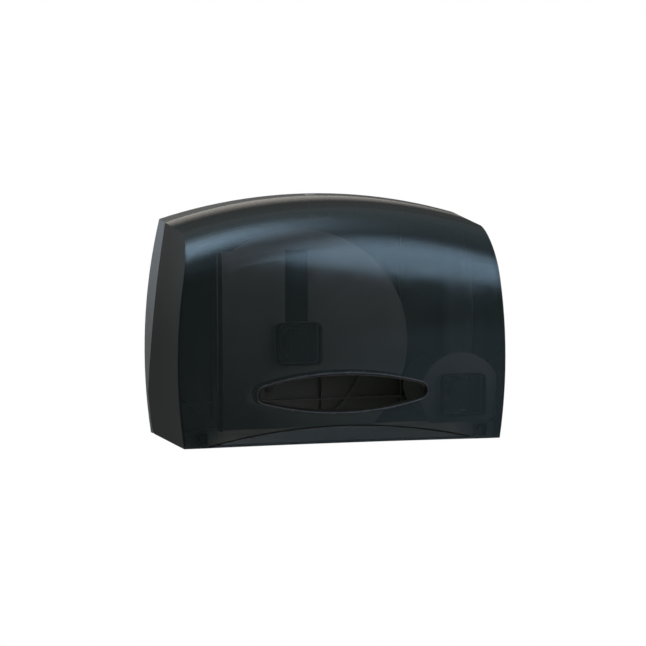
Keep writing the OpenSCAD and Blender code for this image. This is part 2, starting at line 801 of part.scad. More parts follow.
// Collar that stands the stop plate off the inside of the front
module collar(x, z) {
  translate([x, z]) round_rect(collar_w, collar_h, collar_r);
}
module collar_bore(x, z) {
  translate([x, z])
    round_rect(collar_w - 2 * collar_t, collar_h - 2 * collar_t, collar_r - collar_t);
}

module main_stop_plate() {
  color("slategray") hung() difference() {
    union() {
      intersection() {
        form(cover_wall + stop_gap, 0, 1);
        union() {
          slab(stop_rear, stop_front) intersection() {
            union() {
              translate([main_x, main_z]) circle(main_stop_r, $fn = 180);
              translate([stop_left_x, stop_foot_z])
                square([stop_left / 2, slot_top_z - stop_foot_z]);
            }
            translate([stop_left_x, stop_foot_z]) square([body_w, body_h]);
          }
          // Fold along the straight left edge, towards the cover's front
          block(stop_left_x, stop_left_x + stop_t, stop_rear, body_d,
                stop_foot_z, slot_top_z);
        }
      }
      slab(stop_rear, cover_inner) collar(main_x, main_z);
    }
    slab(stop_rear - 1, cover_inner + 1) collar_bore(main_x, main_z);
    slab(stop_rear - 1, stop_front + 1) translate([0, oval_z]) oval(oval_clear);
    slab(stop_rear - 1, cover_inner + 1)
      translate([main_x - slot_w / 2, main_z + collar_h / 2])
        square([slot_w, slot_top_z - main_z - collar_h / 2]);
  }
}

module stub_stop_plate() {
  color("slategray") hung() difference() {
    union() {
      intersection() {
        form(cover_wall + stop_gap, 0, 1);
        slab(stop_rear, stop_front) intersection() {
          translate([stub_x, stub_z]) circle(stub_stop_r);
          translate([stub_x - body_w, stop_foot_z]) square([2 * body_w, body_h]);
        }
      }
      slab(stop_rear, cover_inner) collar(stub_x, stub_z);
    }
    slab(stop_rear - 1, cover_inner + 1) collar_bore(stub_x, stub_z);
  }
}

// Channel along the bottom of the cover, open downwards
module front_rail() {
  color("dimgray") hung() difference() {
    block(-rail_half_l, rail_half_l, tear_back, rail_front,
          rail_foot_z, rail_foot_z + rail_h);
    block(-rail_half_l + rail_t, rail_half_l - rail_t, tear_back + rail_t,
          rail_front - rail_t, rail_foot_z - 1, rail_foot_z + rail_h - rail_t);
    for (x = rivet_xs)
      rod(x, rivet_z, tear_back - 1, tear_back + rail_t + 1, rivet_r + fit_gap);
    for (side = [-1, 1])
      rod(side * rail_screw_x, rail_screw_z, rail_front - rail_t - 1, rail_front + 1,
          screw_r + fit_gap);
  }
}

module rail_screws() {
  color("silver") hung() for (side = [-1, 1]) {
    rod(side * rail_screw_x, rail_screw_z, rail_front - rail_t, rail_front + rail_screw_l,
        screw_r);
    rod(side * rail_screw_x, rail_screw_z, rail_front - rail_t - screw_head_t,
        rail_front - rail_t, screw_head_r);
  }
}

module tear_bar() {
  teeth = floor(2 * tear_half_l / tooth_pitch);
  start = -teeth * tooth_pitch / 2;
  foot_z = rail_foot_z;
  color("silver") hung() difference() {
    slab(tear_back - tear_t, tear_back) polygon(concat(
      [[start, foot_z + tear_h], [start, foot_z + tooth_d]],
      [for (i = [0:teeth - 1]) each [
        [start + (i + 0.5) * tooth_pitch, foot_z],
        [start + (i + 1) * tooth_pitch, foot_z + tooth_d]
      ]],
      [[-start, foot_z + tear_h]]
    ));
    for (x = rivet_xs)
      rod(x, rivet_z, tear_back - tear_t - 1, tear_back + 1, rivet_r + fit_gap);
  }
}

module rail_rivets() {
  color("silver") hung() for (x = rivet_xs) {
    rod(x, rivet_z, tear_back - tear_t, tear_back + rail_t, rivet_r);
    rod(x, rivet_z, tear_back - tear_t - rivet_head_t, tear_back - tear_t,
        rivet_r + rivet_head_w);
    rod(x, rivet_z, tear_back + rail_t, tear_back + rail_t + rivet_head_t,
        rivet_r + rivet_head_w);
  }
}

strike_top_gap = 2;               // between the strike and the inside of the sloped top
strike_cam_gap = 0.8;
strike_reach = strike_back + strike_t + strike_lug_w;
strike_top_z = body_h - tan(top_fall) * strike_reach - cover_wall - strike_top_gap;
strike_foot_z = cam_top_z + strike_cam_gap;
strike_head_z = strike_top_z - strike_h;
strike_screw_z = strike_top_z - strike_h / 2;

// Catch plate whose narrow leg hangs behind the locked cam's finger
module cover_strike() {
  color("silver") hung() difference() {
    union() {
      block(-strike_w / 2, strike_w / 2, strike_back, strike_back + strike_t,
            strike_head_z, strike_top_z);
      block(-strike_leg_w / 2, strike_leg_w / 2, strike_back, strike_back + strike_t,
            strike_foot_z, strike_head_z + strike_h / 8);
    }
    for (side = [-1, 1])
      rod(side * strike_screw_x, strike_screw_z, strike_back - 1, strike_back + strike_t + 1,
          screw_r + fit_gap);
  }
}
module strike_screws() {
  color("silver") hung() for (side = [-1, 1]) {
    rod(side * strike_screw_x, strike_screw_z, strike_back,
        strike_back + strike_t + strike_screw_l, screw_r);
    rod(side * strike_screw_x, strike_screw_z, strike_back - screw_head_t, strike_back,
        screw_head_r);
  }
}

back_plate();
main_post();
main_post_screws();
main_thrust_washer();
main_circlip();
main_hub();
main_rear_flange();
main_nose();
stub_post();
stub_post_screws();
stub_thrust_washer();
stub_circlip();
stub_hub();
stub_rear_flange();
stub_nose();
brake_leaf();
brake_pad();
brake_screw();
lock_sleeve();
lock_nut();
lock_barrel();
lock_cam();
cam_screw();
cover();
hinge_pins();
main_stop_plate();
stub_stop_plate();
front_rail();
rail_screws();
tear_bar();
rail_rivets();
cover_strike();
strike_screws();
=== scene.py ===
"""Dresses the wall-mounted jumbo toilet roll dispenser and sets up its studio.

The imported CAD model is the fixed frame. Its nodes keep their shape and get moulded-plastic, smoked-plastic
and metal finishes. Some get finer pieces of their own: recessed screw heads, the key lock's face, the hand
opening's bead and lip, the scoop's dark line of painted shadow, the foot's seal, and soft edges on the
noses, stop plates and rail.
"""

import json
import logging
import math
from dataclasses import dataclass, field
from enum import Enum
from functools import partial, reduce
from typing import Any, Callable, Iterable, Sequence

import bpy
from mathutils import Matrix, Vector

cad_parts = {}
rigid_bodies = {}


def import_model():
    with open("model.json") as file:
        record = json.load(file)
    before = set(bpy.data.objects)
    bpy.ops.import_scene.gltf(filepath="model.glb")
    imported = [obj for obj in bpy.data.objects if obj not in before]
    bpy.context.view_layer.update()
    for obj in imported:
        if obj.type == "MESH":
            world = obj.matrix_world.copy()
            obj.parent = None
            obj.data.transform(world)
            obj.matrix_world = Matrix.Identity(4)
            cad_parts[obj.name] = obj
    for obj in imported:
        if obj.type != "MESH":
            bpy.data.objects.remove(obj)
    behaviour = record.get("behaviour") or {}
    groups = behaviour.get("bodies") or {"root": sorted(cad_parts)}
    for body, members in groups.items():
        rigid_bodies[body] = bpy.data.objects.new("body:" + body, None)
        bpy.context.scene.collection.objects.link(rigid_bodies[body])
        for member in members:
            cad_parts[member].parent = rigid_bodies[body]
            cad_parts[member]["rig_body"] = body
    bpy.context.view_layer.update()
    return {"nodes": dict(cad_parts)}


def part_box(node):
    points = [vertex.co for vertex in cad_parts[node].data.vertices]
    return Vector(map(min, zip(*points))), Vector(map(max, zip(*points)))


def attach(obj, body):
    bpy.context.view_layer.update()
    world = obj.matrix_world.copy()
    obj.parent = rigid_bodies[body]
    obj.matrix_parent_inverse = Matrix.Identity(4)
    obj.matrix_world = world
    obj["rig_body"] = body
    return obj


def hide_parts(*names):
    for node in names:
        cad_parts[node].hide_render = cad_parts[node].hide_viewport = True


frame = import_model()

LOG = logging.getLogger("dispenser")
MM = 0.001

Colour = tuple[float, float, float]
Point = tuple[float, float, float]
Fade = tuple[float, float, float, float]
Socket = bpy.types.NodeSocket


class Body(Enum):
    """The CAD bodies that pieces ride on."""

    WALL = "wall_unit"
    COVER = "cover"
    MAIN = "main_spindle"
    STUB = "stub_spindle"
    LOCK = "lock"


class Facing(Enum):
    """The ways that screw heads face."""

    FRONT = (0, -1, 0)
    WALL = (0, 1, 0)
    DOWN = (0, 0, -1)


# ---- Finishes ----


GRAIN_SCALE = 2600.0
WAVE_SCALE = 25.0
MOTTLE_SCALE = 60.0
CLOUD_SCALE = 14.0
CLOUD_RANGE = (0.3, 0.7)
GRAIN_DEPTH = 0.00004
WAVE_DEPTH = 0.0004


class Nodes:
    """A small helper that adds and links the nodes of a material, a light or the world."""

    def __init__(self, tree: bpy.types.NodeTree) -> None:
        """Takes the node tree that it works on."""
        self.tree = tree

    def add(self, kind: str, **values: Any) -> bpy.types.Node:
        """Adds a node and sets its inputs or properties by name.

        Args:
            kind: The node's type, without the ShaderNode prefix.
            **values: Input values, or properties where no input has that name.

        Returns:
            The new node.
        """
        node = self.tree.nodes.new("ShaderNode" + kind)
        for key, value in values.items():
            title = key.replace("_", " ").title()
            if title in node.inputs:
                node.inputs[title].default_value = value
            else:
                setattr(node, key, value)
        return node

    def link(self, source: Socket, target: Socket) -> None:
        """Feeds an input from an output."""
        self.tree.links.new(source, target)

    def axes(self, source: Socket) -> Any:
        """Splits a vector.

        Args:
            source: The vector's socket.

        Returns:
            Its sockets, by the names X, Y and Z.
        """
        node = self.add("SeparateXYZ")
        self.link(source, node.inputs[0])
        return node.outputs

    def math(self, operation: str, *sources: Socket) -> Socket:
        """Works out one value from others.

        Args:
            operation: The math node's operation.
            *sources: Its inputs, in order.

        Returns:
            The result's socket.
        """
        node = self.add("Math", operation=operation)
        for source, target in zip(sources, node.inputs):
            self.link(source, target)
        return node.outputs[0]

    def remap(self, source: Socket, low: float, high: float,
              start: float = 0.35, end: float = 0.65, smooth: bool = False) -> Socket:
        """Turns a value between start and end into one between low and high, clamped.

        Args:
            source: The value to turn.
            low: The result where the value is at start or less.
            high: The result where it is at end or more.
            start: The value that gives low.
            end: The value that gives high.
            smooth: Whether it turns softly at both ends.

        Returns:
            The turned value's socket.
        """
        node = self.add("MapRange", from_min=start, from_max=end, to_min=low, to_max=high,
                        interpolation_type="SMOOTHSTEP" if smooth else "LINEAR")
        self.link(source, node.inputs["Value"])
        return node.outputs["Result"]


class Graph(Nodes):
    """One material's nodes, around its Principled shader."""

    def __init__(self, name: str) -> None:
        """Starts a material.

        Args:
            name: The material's name.
        """
        self.material = bpy.data.materials.new(name)
        self.material.use_nodes = True
        super().__init__(self.material.node_tree)
        self.shader = self.tree.nodes["Principled BSDF"]
        coordinates = self.add("TexCoord")
        self.place = coordinates.outputs["Object"]
        self.facing = coordinates.outputs["Normal"]

    def noise(self, scale: float, detail: float = 3.0, stretch: Point = (1, 1, 1)) -> Socket:
        """Adds noise over the piece.

        Args:
            scale: The noise's scale, in waves per metre.
            detail: How many finer layers it has.
            stretch: Factors along X, Y and Z that squeeze the pattern.

        Returns:
            The noise's value socket.
        """
        mapping = self.add("Mapping")
        mapping.inputs["Scale"].default_value = stretch
        self.link(self.place, mapping.inputs["Vector"])
        node = self.add("TexNoise", scale=scale, detail=detail)
        self.link(mapping.outputs["Vector"], node.inputs["Vector"])
        return node.outputs["Fac"]

    def clouds(self, low: float, high: float, scale: float = CLOUD_SCALE, detail: float = 4.0) -> Socket:
        """Adds soft, wide clouds: the value is low between them and high in them."""
        return self.remap(self.noise(scale, detail), low, high, *CLOUD_RANGE)

    def blend(self, amount: Socket, first: Colour | Socket, second: Colour | Socket) -> Socket:
        """Mixes two colours by an amount.

        Args:
            amount: Zero gives the first colour, one the second.
            first: The first colour, or its socket.
            second: The second colour, or its socket.

        Returns:
            The mixed colour's socket.
        """
        node = self.add("Mix", data_type="RGBA")
        self.link(amount, node.inputs[0])
        sides = [socket for socket in node.inputs if socket.type == "RGBA"]
        for side, colour in zip(sides, (first, second)):
            if isinstance(colour, tuple):
                side.default_value = (*colour, 1)
            else:
                self.link(colour, side)
        return next(socket for socket in node.outputs if socket.type == "RGBA")

    def mottle(self, roughness: float, below: float = 0.06, above: float = 0.08,
               scale: float = MOTTLE_SCALE, detail: float = 3.0) -> Socket:
        """Varies the roughness over the piece.

        Args:
            roughness: The roughness in the middle.
            below: How much lower it gets.
            above: How much higher it gets.
            scale: The scale of the change, in waves per metre.
            detail: How many finer layers it has.

        Returns:
            The roughness's socket.
        """
        value = self.remap(self.noise(scale, detail), roughness - below, roughness + above)
        self.link(value, self.shader.inputs["Roughness"])
        return value

    def bump(self, heights: Iterable[tuple[Socket, float, float]]) -> None:
        """Chains bumps into the shader's normal.

        Args:
            heights: Height socket, strength and distance in metres of each bump.
        """
        normal = None
        for height, strength, distance in heights:
            node = self.add("Bump", strength=strength, distance=distance)
            self.link(height, node.inputs["Height"])
            if normal is not None:
                self.link(normal, node.inputs["Normal"])
            normal = node.outputs["Normal"]
        if normal is not None:
            self.link(normal, self.shader.inputs["Normal"])


@dataclass(frozen=True)
class Plastic:
    """An opaque moulded plastic with a spark-eroded grain and a faintly clouded colour."""

    name: str
    colour: Colour
    tone: Colour
    roughness: float = 0.45
    grain: float = 0.25
    specular: float = 0.5
    wave: float = 0.08

    def build(self) -> bpy.types.Material:
        """Builds the material.

        Returns:
            The material.
        """
        g = Graph(self.name)
        g.link(self.skin(g), g.shader.inputs["Base Color"])
        g.mottle(self.roughness)
        g.shader.inputs["Specular IOR Level"].default_value = self.specular
        g.bump([(g.noise(GRAIN_SCALE, detail=2), self.grain, GRAIN_DEPTH),
                (g.noise(WAVE_SCALE, detail=2), self.wave, WAVE_DEPTH)])
        return g.material

    def skin(self, g: Graph) -> Socket:
        """The clouded colour's socket."""
        return g.blend(g.clouds(0, 1), self.colour, self.tone)


@dataclass(frozen=True)
class RailPlastic(Plastic):
    """The rail's plastic: paler to the left, where sheets are torn off, and darker towards its ends with
    painted shade.
    """

    # painted shade: the colour that darkens the rail towards its ends
    painted_shade: Colour = (0.06, 0.06, 0.054)
    painted_shade_x: float = 0.123
    painted_shade_reach: float = 0.025
    worn: Colour = (0.60, 0.57, 0.53)
    worn_x: float = -0.08
    worn_reach: float = 0.18

    def skin(self, g: Graph) -> Socket:
        """The clouded colour, worn pale at the left, with painted shade darkening it towards the ends.

        Args:
            g: The material's graph.

        Returns:
            The colour's socket.
        """
        x = g.axes(g.place)["X"]
        wear = g.remap(x, 1, 0, self.worn_x, self.worn_x + self.worn_reach)
        worn = g.blend(wear, super().skin(g), self.worn)
        # Painted shade darkens the rail towards its ends.
        ends = g.remap(g.math("ABSOLUTE", x), 0, 1, self.painted_shade_x, self.painted_shade_x + self.painted_shade_reach)
        return g.blend(ends, worn, self.painted_shade)


@dataclass(frozen=True)
class Smoke:
    """A smoked plastic that lets some light through where it is seen squarely, and little at a slant."""

    name: str
    sides: Colour
    front: Colour
    square_opacity: float
    slant_opacity: float
    square_facing: float = 0.12
    slant_facing: float = 0.66
    roughness: float = 0.2
    specular: float = 0.85
    tint: Colour = (0.52, 0.76, 1.0)
    front_y: float = -0.13
    front_reach: float = 0.06
    # dust and painted sheen: a paler colour on the upward faces towards the rear
    dust_and_sheen: Colour = (0.45, 0.41, 0.37)
    dust_and_sheen_y: float = -0.07
    dust_and_sheen_reach: float = 0.065
    dust_and_sheen_facing: tuple[float, float] = (0.8, 0.95)
    haze: float = 0.2
    haze_facing: tuple[float, float] = (0.03, 0.25)
    cloud: tuple[float, float] = (0.8, 1.0)
    cloud_scale: float = 9.0
    gloss_below: float = 0.01
    gloss_above: float = 0.02
    gloss_scale: float = 45.0
    wave: float = 0.02
    wave_scale: float = 30.0
    wave_depth: float = 0.0003
    grain: float = 0.08
    grain_scale: float = 2400.0
    grain_depth: float = 0.00003

    def build(self) -> bpy.types.Material:
        """Builds the material.

        Returns:
            The material.
        """
        g = Graph(self.name)
        place, facing = g.axes(g.place), g.axes(g.facing)
        front = g.remap(place["Y"], 1, 0, self.front_y, self.front_y + self.front_reach)
        cloud = g.math("MULTIPLY", front, g.clouds(*self.cloud, scale=self.cloud_scale, detail=3))
        skin = g.blend(cloud, self.sides, self.front)
        # Dust and a painted sheen lighten the upward faces towards the rear.
        rear = g.remap(place["Y"], 0, 1, self.dust_and_sheen_y, self.dust_and_sheen_y + self.dust_and_sheen_reach, smooth=True)
        dust_and_sheen = g.math("MULTIPLY", g.remap(facing["Z"], 0, 1, *self.dust_and_sheen_facing), rear)
        g.link(g.blend(dust_and_sheen, skin, self.dust_and_sheen), g.shader.inputs["Base Color"])
        gloss = g.mottle(self.roughness, self.gloss_below, self.gloss_above, self.gloss_scale, detail=4)
        haze = g.remap(facing["Z"], 0, self.haze, *self.haze_facing)
        g.link(g.math("ADD", gloss, haze), g.shader.inputs["Roughness"])
        slant = g.add("LayerWeight", blend=0.5)
        g.link(g.remap(slant.outputs["Facing"], self.square_opacity, self.slant_opacity,
                       self.square_facing, self.slant_facing), g.shader.inputs["Alpha"])
        g.shader.inputs["Specular IOR Level"].default_value = self.specular
        g.shader.inputs["Specular Tint"].default_value = (*self.tint, 1)
        g.bump([(g.noise(self.wave_scale, detail=1), self.wave, self.wave_depth),
                (g.noise(self.grain_scale, detail=2), self.grain, self.grain_depth)])
        return g.material


@dataclass(frozen=True)
class Housing:
    """The back plate's plastic: a paler grained rim with painted light and a painted highlight on top, and
    darker inside with painted shade, where little light gets.
    """

    name: str
    rim: Colour
    # rim_shaded_low: painted shade, the rim's colour towards the bottom
    rim_shaded_low: Colour
    # inside: painted shade, the colour inside where little light gets
    inside: Colour
    # painted light on the ribs' side faces
    painted_rib_light: Colour = (0.07, 0.075, 0.055)
    # painted highlight: the colour of the rim's upward faces
    painted_crown_highlight: Colour = (0.085, 0.085, 0.083)
    roughness: float = 0.42
    roughness_below: float = 0.05
    grain: float = 0.25
    wave: float = 0.04
    low_z: float = -0.02
    high_z: float = 0.10
    inner_x: float = 0.150
    inner_x_blur: float = 0.012
    inner_z: float = 0.088
    inner_z_blur: float = 0.006
    wall_y: float = -0.001
    wall_blur: float = 0.0005
    painted_crown_facing: tuple[float, float] = (0.7, 0.95)
    painted_rib_facing: tuple[float, float] = (-0.9, -0.5)

    def build(self) -> bpy.types.Material:
        """Builds the material.

        Returns:
            The material.
        """
        g = Graph(self.name)
        place, facing = g.axes(g.place), g.axes(g.facing)
        # Painted light: the rim is lighter at the top and darker towards the bottom.
        rim = g.blend(g.remap(place["Z"], 0, 1, self.low_z, self.high_z), self.rim_shaded_low, self.rim)
        # Painted highlight: the rim's upward faces are lighter.
        highlighted_rim = g.blend(g.remap(facing["Z"], 0, 1, *self.painted_crown_facing), rim, self.painted_crown_highlight)
        # Painted light: the ribs' side faces are lighter than the inside, against their shade.
        rib_lit_inside = g.blend(g.remap(facing["Y"], 0, 1, *self.painted_rib_facing), self.inside, self.painted_rib_light)
        outer = g.remap(g.math("ABSOLUTE", place["X"]), 0, 1, self.inner_x, self.inner_x + self.inner_x_blur)
        top = g.remap(place["Z"], 0, 1, self.inner_z, self.inner_z + self.inner_z_blur)
        behind = g.remap(place["Y"], 0, 1, self.wall_y, self.wall_y + self.wall_blur)
        shown = g.math("MAXIMUM", g.math("MAXIMUM", outer, top), behind)
        # Painted shade inside: the rim's colours show only on the outer, top and rear faces.
        g.link(g.blend(shown, rib_lit_inside, highlighted_rim), g.shader.inputs["Base Color"])
        g.mottle(self.roughness, self.roughness_below)
        g.bump([(g.noise(GRAIN_SCALE, detail=2), self.grain, GRAIN_DEPTH),
                (g.noise(WAVE_SCALE, detail=2), self.wave, WAVE_DEPTH)])
        return g.material


@dataclass(frozen=True)
class StopPlastic:
    """The stop plates' plastic, with painted shade towards the bottom, on the collar and fold that stand in
    front of the plate, and around the hand opening.
    """

    name: str
    face: Colour
    # face_shaded_low: painted shade, the plate's colour towards the bottom
    face_shaded_low: Colour
    # edge: the colour of painted shade on the collar, the fold and around the hand opening
    edge: Colour
    edge_y: float = -0.1385
    edge_blur: float = 0.001
    low_z: float = -0.09
    high_z: float = 0.02
    # where the painted shade around the hand opening lies
    shade_place: Point = (0.0045, -0.13, -0.068)
    shade_size: Point = (0.0945, 1.0, 0.0225)
    shade_blur: tuple[float, float] = (0.97, 1.03)
    cloud: tuple[float, float] = (0.8, 1.0)
    roughness: float = 0.5
    specular: float = 0.3
    grain: float = 0.2

    def build(self) -> bpy.types.Material:
        """Builds the material.

        Returns:
            The material.
        """
        g = Graph(self.name)
        place = g.axes(g.place)
        # Painted shade: the plate gets darker towards the bottom, as if lit from above.
        height = g.remap(place["Z"], 0, 1, self.low_z, self.high_z)
        face = g.blend(g.math("MULTIPLY", height, g.clouds(*self.cloud)), self.face_shaded_low, self.face)
        # Painted shade on the collar and fold, which stand in front of the plate, and around the hand
        # opening.
        front = g.remap(place["Y"], 1, 0, self.edge_y - self.edge_blur, self.edge_y)
        dark = g.math("MAXIMUM", front, self.painted_shade(g))
        g.link(g.blend(dark, face, self.edge), g.shader.inputs["Base Color"])
        g.mottle(self.roughness)
        g.shader.inputs["Specular IOR Level"].default_value = self.specular
        g.bump([(g.noise(GRAIN_SCALE, detail=2), self.grain, GRAIN_DEPTH)])
        return g.material

    def painted_shade(self, g: Graph) -> Socket:
        """Paints shade on the plates around the hand opening.

        Args:
            g: The material's graph.

        Returns:
            One inside the painted shade, zero outside.
        """
        mapping = g.add("Mapping", vector_type="TEXTURE")
        mapping.inputs["Location"].default_value = self.shade_place
        mapping.inputs["Scale"].default_value = self.shade_size
        g.link(g.place, mapping.inputs["Vector"])
        length = g.add("VectorMath", operation="LENGTH")
        g.link(mapping.outputs["Vector"], length.inputs[0])
        return g.remap(length.outputs["Value"], 1, 0, *self.shade_blur)


@dataclass(frozen=True)
class Metal:
    """A metal with fine brushing and faint stains."""

    name: str
    colour: Colour
    tone: Colour
    roughness: float = 0.3
    brushed: Point = (1, 1, 1)
    polished: float = 0.08
    scuffed: float = 0.1
    stain_scale: float = 90.0
    scratch: float = 0.12
    scratch_scale: float = 1500.0
    scratch_depth: float = 0.00002

    def build(self) -> bpy.types.Material:
        """Builds the material.

        Returns:
            The material.
        """
        g = Graph(self.name)
        stain = g.remap(g.noise(self.stain_scale, detail=4), 0, 1)
        g.link(g.blend(stain, self.colour, self.tone), g.shader.inputs["Base Color"])
        g.shader.inputs["Metallic"].default_value = 1.0
        scratch = g.noise(self.scratch_scale, stretch=self.brushed)
        gloss = g.remap(scratch, self.roughness - self.polished, self.roughness + self.scuffed)
        g.link(gloss, g.shader.inputs["Roughness"])
        g.bump([(scratch, self.scratch, self.scratch_depth)])
        return g.material


@dataclass(frozen=True)
class Rubber:
    """A soft black rubber with a dusty bloom."""

    name: str
    colour: Colour
    bloom: Colour
    bloom_scale: float = 220.0
    gloss: tuple[float, float] = (0.72, 0.9)
    gloss_scale: float = 120.0
    pores: float = 0.3
    pore_scale: float = 1800.0
    pore_depth: float = 0.00005

    def build(self) -> bpy.types.Material:
        """Builds the material.

        Returns:
            The material.
        """
        g = Graph(self.name)
        bloom = g.remap(g.noise(self.bloom_scale, detail=5), 0, 1)
        g.link(g.blend(bloom, self.colour, self.bloom), g.shader.inputs["Base Color"])
        g.link(g.remap(g.noise(self.gloss_scale), *self.gloss), g.shader.inputs["Roughness"])
        g.bump([(g.noise(self.pore_scale), self.pores, self.pore_depth)])
        return g.material


Finish = Plastic | Smoke | Housing | StopPlastic | Metal | Rubber

HOUSING = Housing("housing_plastic", rim=(0.17, 0.195, 0.22), rim_shaded_low=(0.14, 0.148, 0.15),
                  inside=(0.007, 0.0095, 0.005))
STOP = StopPlastic("stop_plastic", face=(0.35, 0.33, 0.34), face_shaded_low=(0.12, 0.125, 0.12),
                   edge=(0.022, 0.021, 0.017))
INNER = Plastic("inner_plastic", (0.032, 0.037, 0.029), (0.037, 0.042, 0.033), roughness=0.5, grain=0.2,
                specular=0.2)
RAIL = RailPlastic("rail_plastic", (0.27, 0.24, 0.21), (0.30, 0.265, 0.23), roughness=0.5, grain=0.1)
ACETAL = Plastic("acetal", (0.7, 0.7, 0.64), (0.76, 0.75, 0.7), roughness=0.35, grain=0.1)
COVER_SMOKE = Smoke("smoked_plastic", sides=(0.006, 0.008, 0.007), front=(0.013, 0.018, 0.0175),
                    square_opacity=0.48, slant_opacity=0.995, roughness=0.07)
SPRING = Metal("dark_spring_steel", (0.05, 0.05, 0.05), (0.035, 0.035, 0.035), roughness=0.4)
STEEL = Metal("zinc_steel", (0.55, 0.56, 0.58), (0.47, 0.48, 0.5), roughness=0.32)
BLADE = Metal("blade_steel", (0.66, 0.67, 0.68), (0.58, 0.59, 0.6), roughness=0.24, brushed=(0.06, 1, 1))
CHROME = Metal("lock_chrome", (0.78, 0.79, 0.8), (0.72, 0.73, 0.74), roughness=0.1)
BRASS = Metal("lock_brass", (0.66, 0.47, 0.2), (0.55, 0.38, 0.16), roughness=0.25)
# The bead's pale bluish colour is partly a painted highlight; its round section also catches real
# highlights.
BEAD_WITH_HIGHLIGHT = Plastic("bead_painted_highlight", (0.075, 0.075, 0.095), (0.09, 0.09, 0.115), roughness=0.25, grain=0.05,
               specular=0.7)
LIP = Plastic("lip_plastic", (0.004, 0.005, 0.004), (0.006, 0.007, 0.006), roughness=0.5, grain=0.05,
              specular=0.15)
# A dark line of painted shadow along the scoop's edge.
SHADOW_LINE = Plastic("painted_shadow_line", (0.001, 0.0015, 0.001), (0.002, 0.002, 0.002), roughness=0.6, grain=0.02,
               specular=0.05)
PAD = Rubber("pad_rubber", colour=(0.018, 0.018, 0.018), bloom=(0.04, 0.04, 0.038))

NODE_FINISHES: dict[str, Finish] = {
    "back_plate": HOUSING,
    "cover": COVER_SMOKE,
    "main_stop_plate": STOP,
    "stub_stop_plate": STOP,
    "front_rail": RAIL,
    "main_hub": INNER,
    "main_rear_flange": INNER,
    "main_nose": INNER,
    "stub_hub": INNER,
    "stub_rear_flange": INNER,
    "stub_nose": INNER,
    "main_thrust_washer": ACETAL,
    "stub_thrust_washer": ACETAL,
    "brake_pad": PAD,
    "brake_leaf": SPRING,
    "brake_screw": SPRING,
    "rail_screws": SPRING,
    "strike_screws": SPRING,
    "tear_bar": BLADE,
    "lock_sleeve": CHROME,
    "lock_barrel": BRASS,
}


class Dresser:
    """Gives every CAD node its finish."""

    def __init__(self) -> None:
        """Starts with no material built."""
        self.built: dict[str, bpy.types.Material] = {}

    def material(self, finish: Finish) -> bpy.types.Material:
        """The finish's material, built once.

        Args:
            finish: One of the finishes above.

        Returns:
            Its material.
        """
        if finish.name not in self.built:
            self.built[finish.name] = finish.build()
        return self.built[finish.name]

    def dress_nodes(self) -> None:
        """Assigns the finishes to the CAD nodes."""
        for name, node in frame["nodes"].items():
            finish = NODE_FINISHES.get(name, STEEL)
            for slot in node.material_slots:
                slot.material = self.material(finish)
            LOG.info("dressed %s as %s", name, finish.name)


# ---- Pieces ----


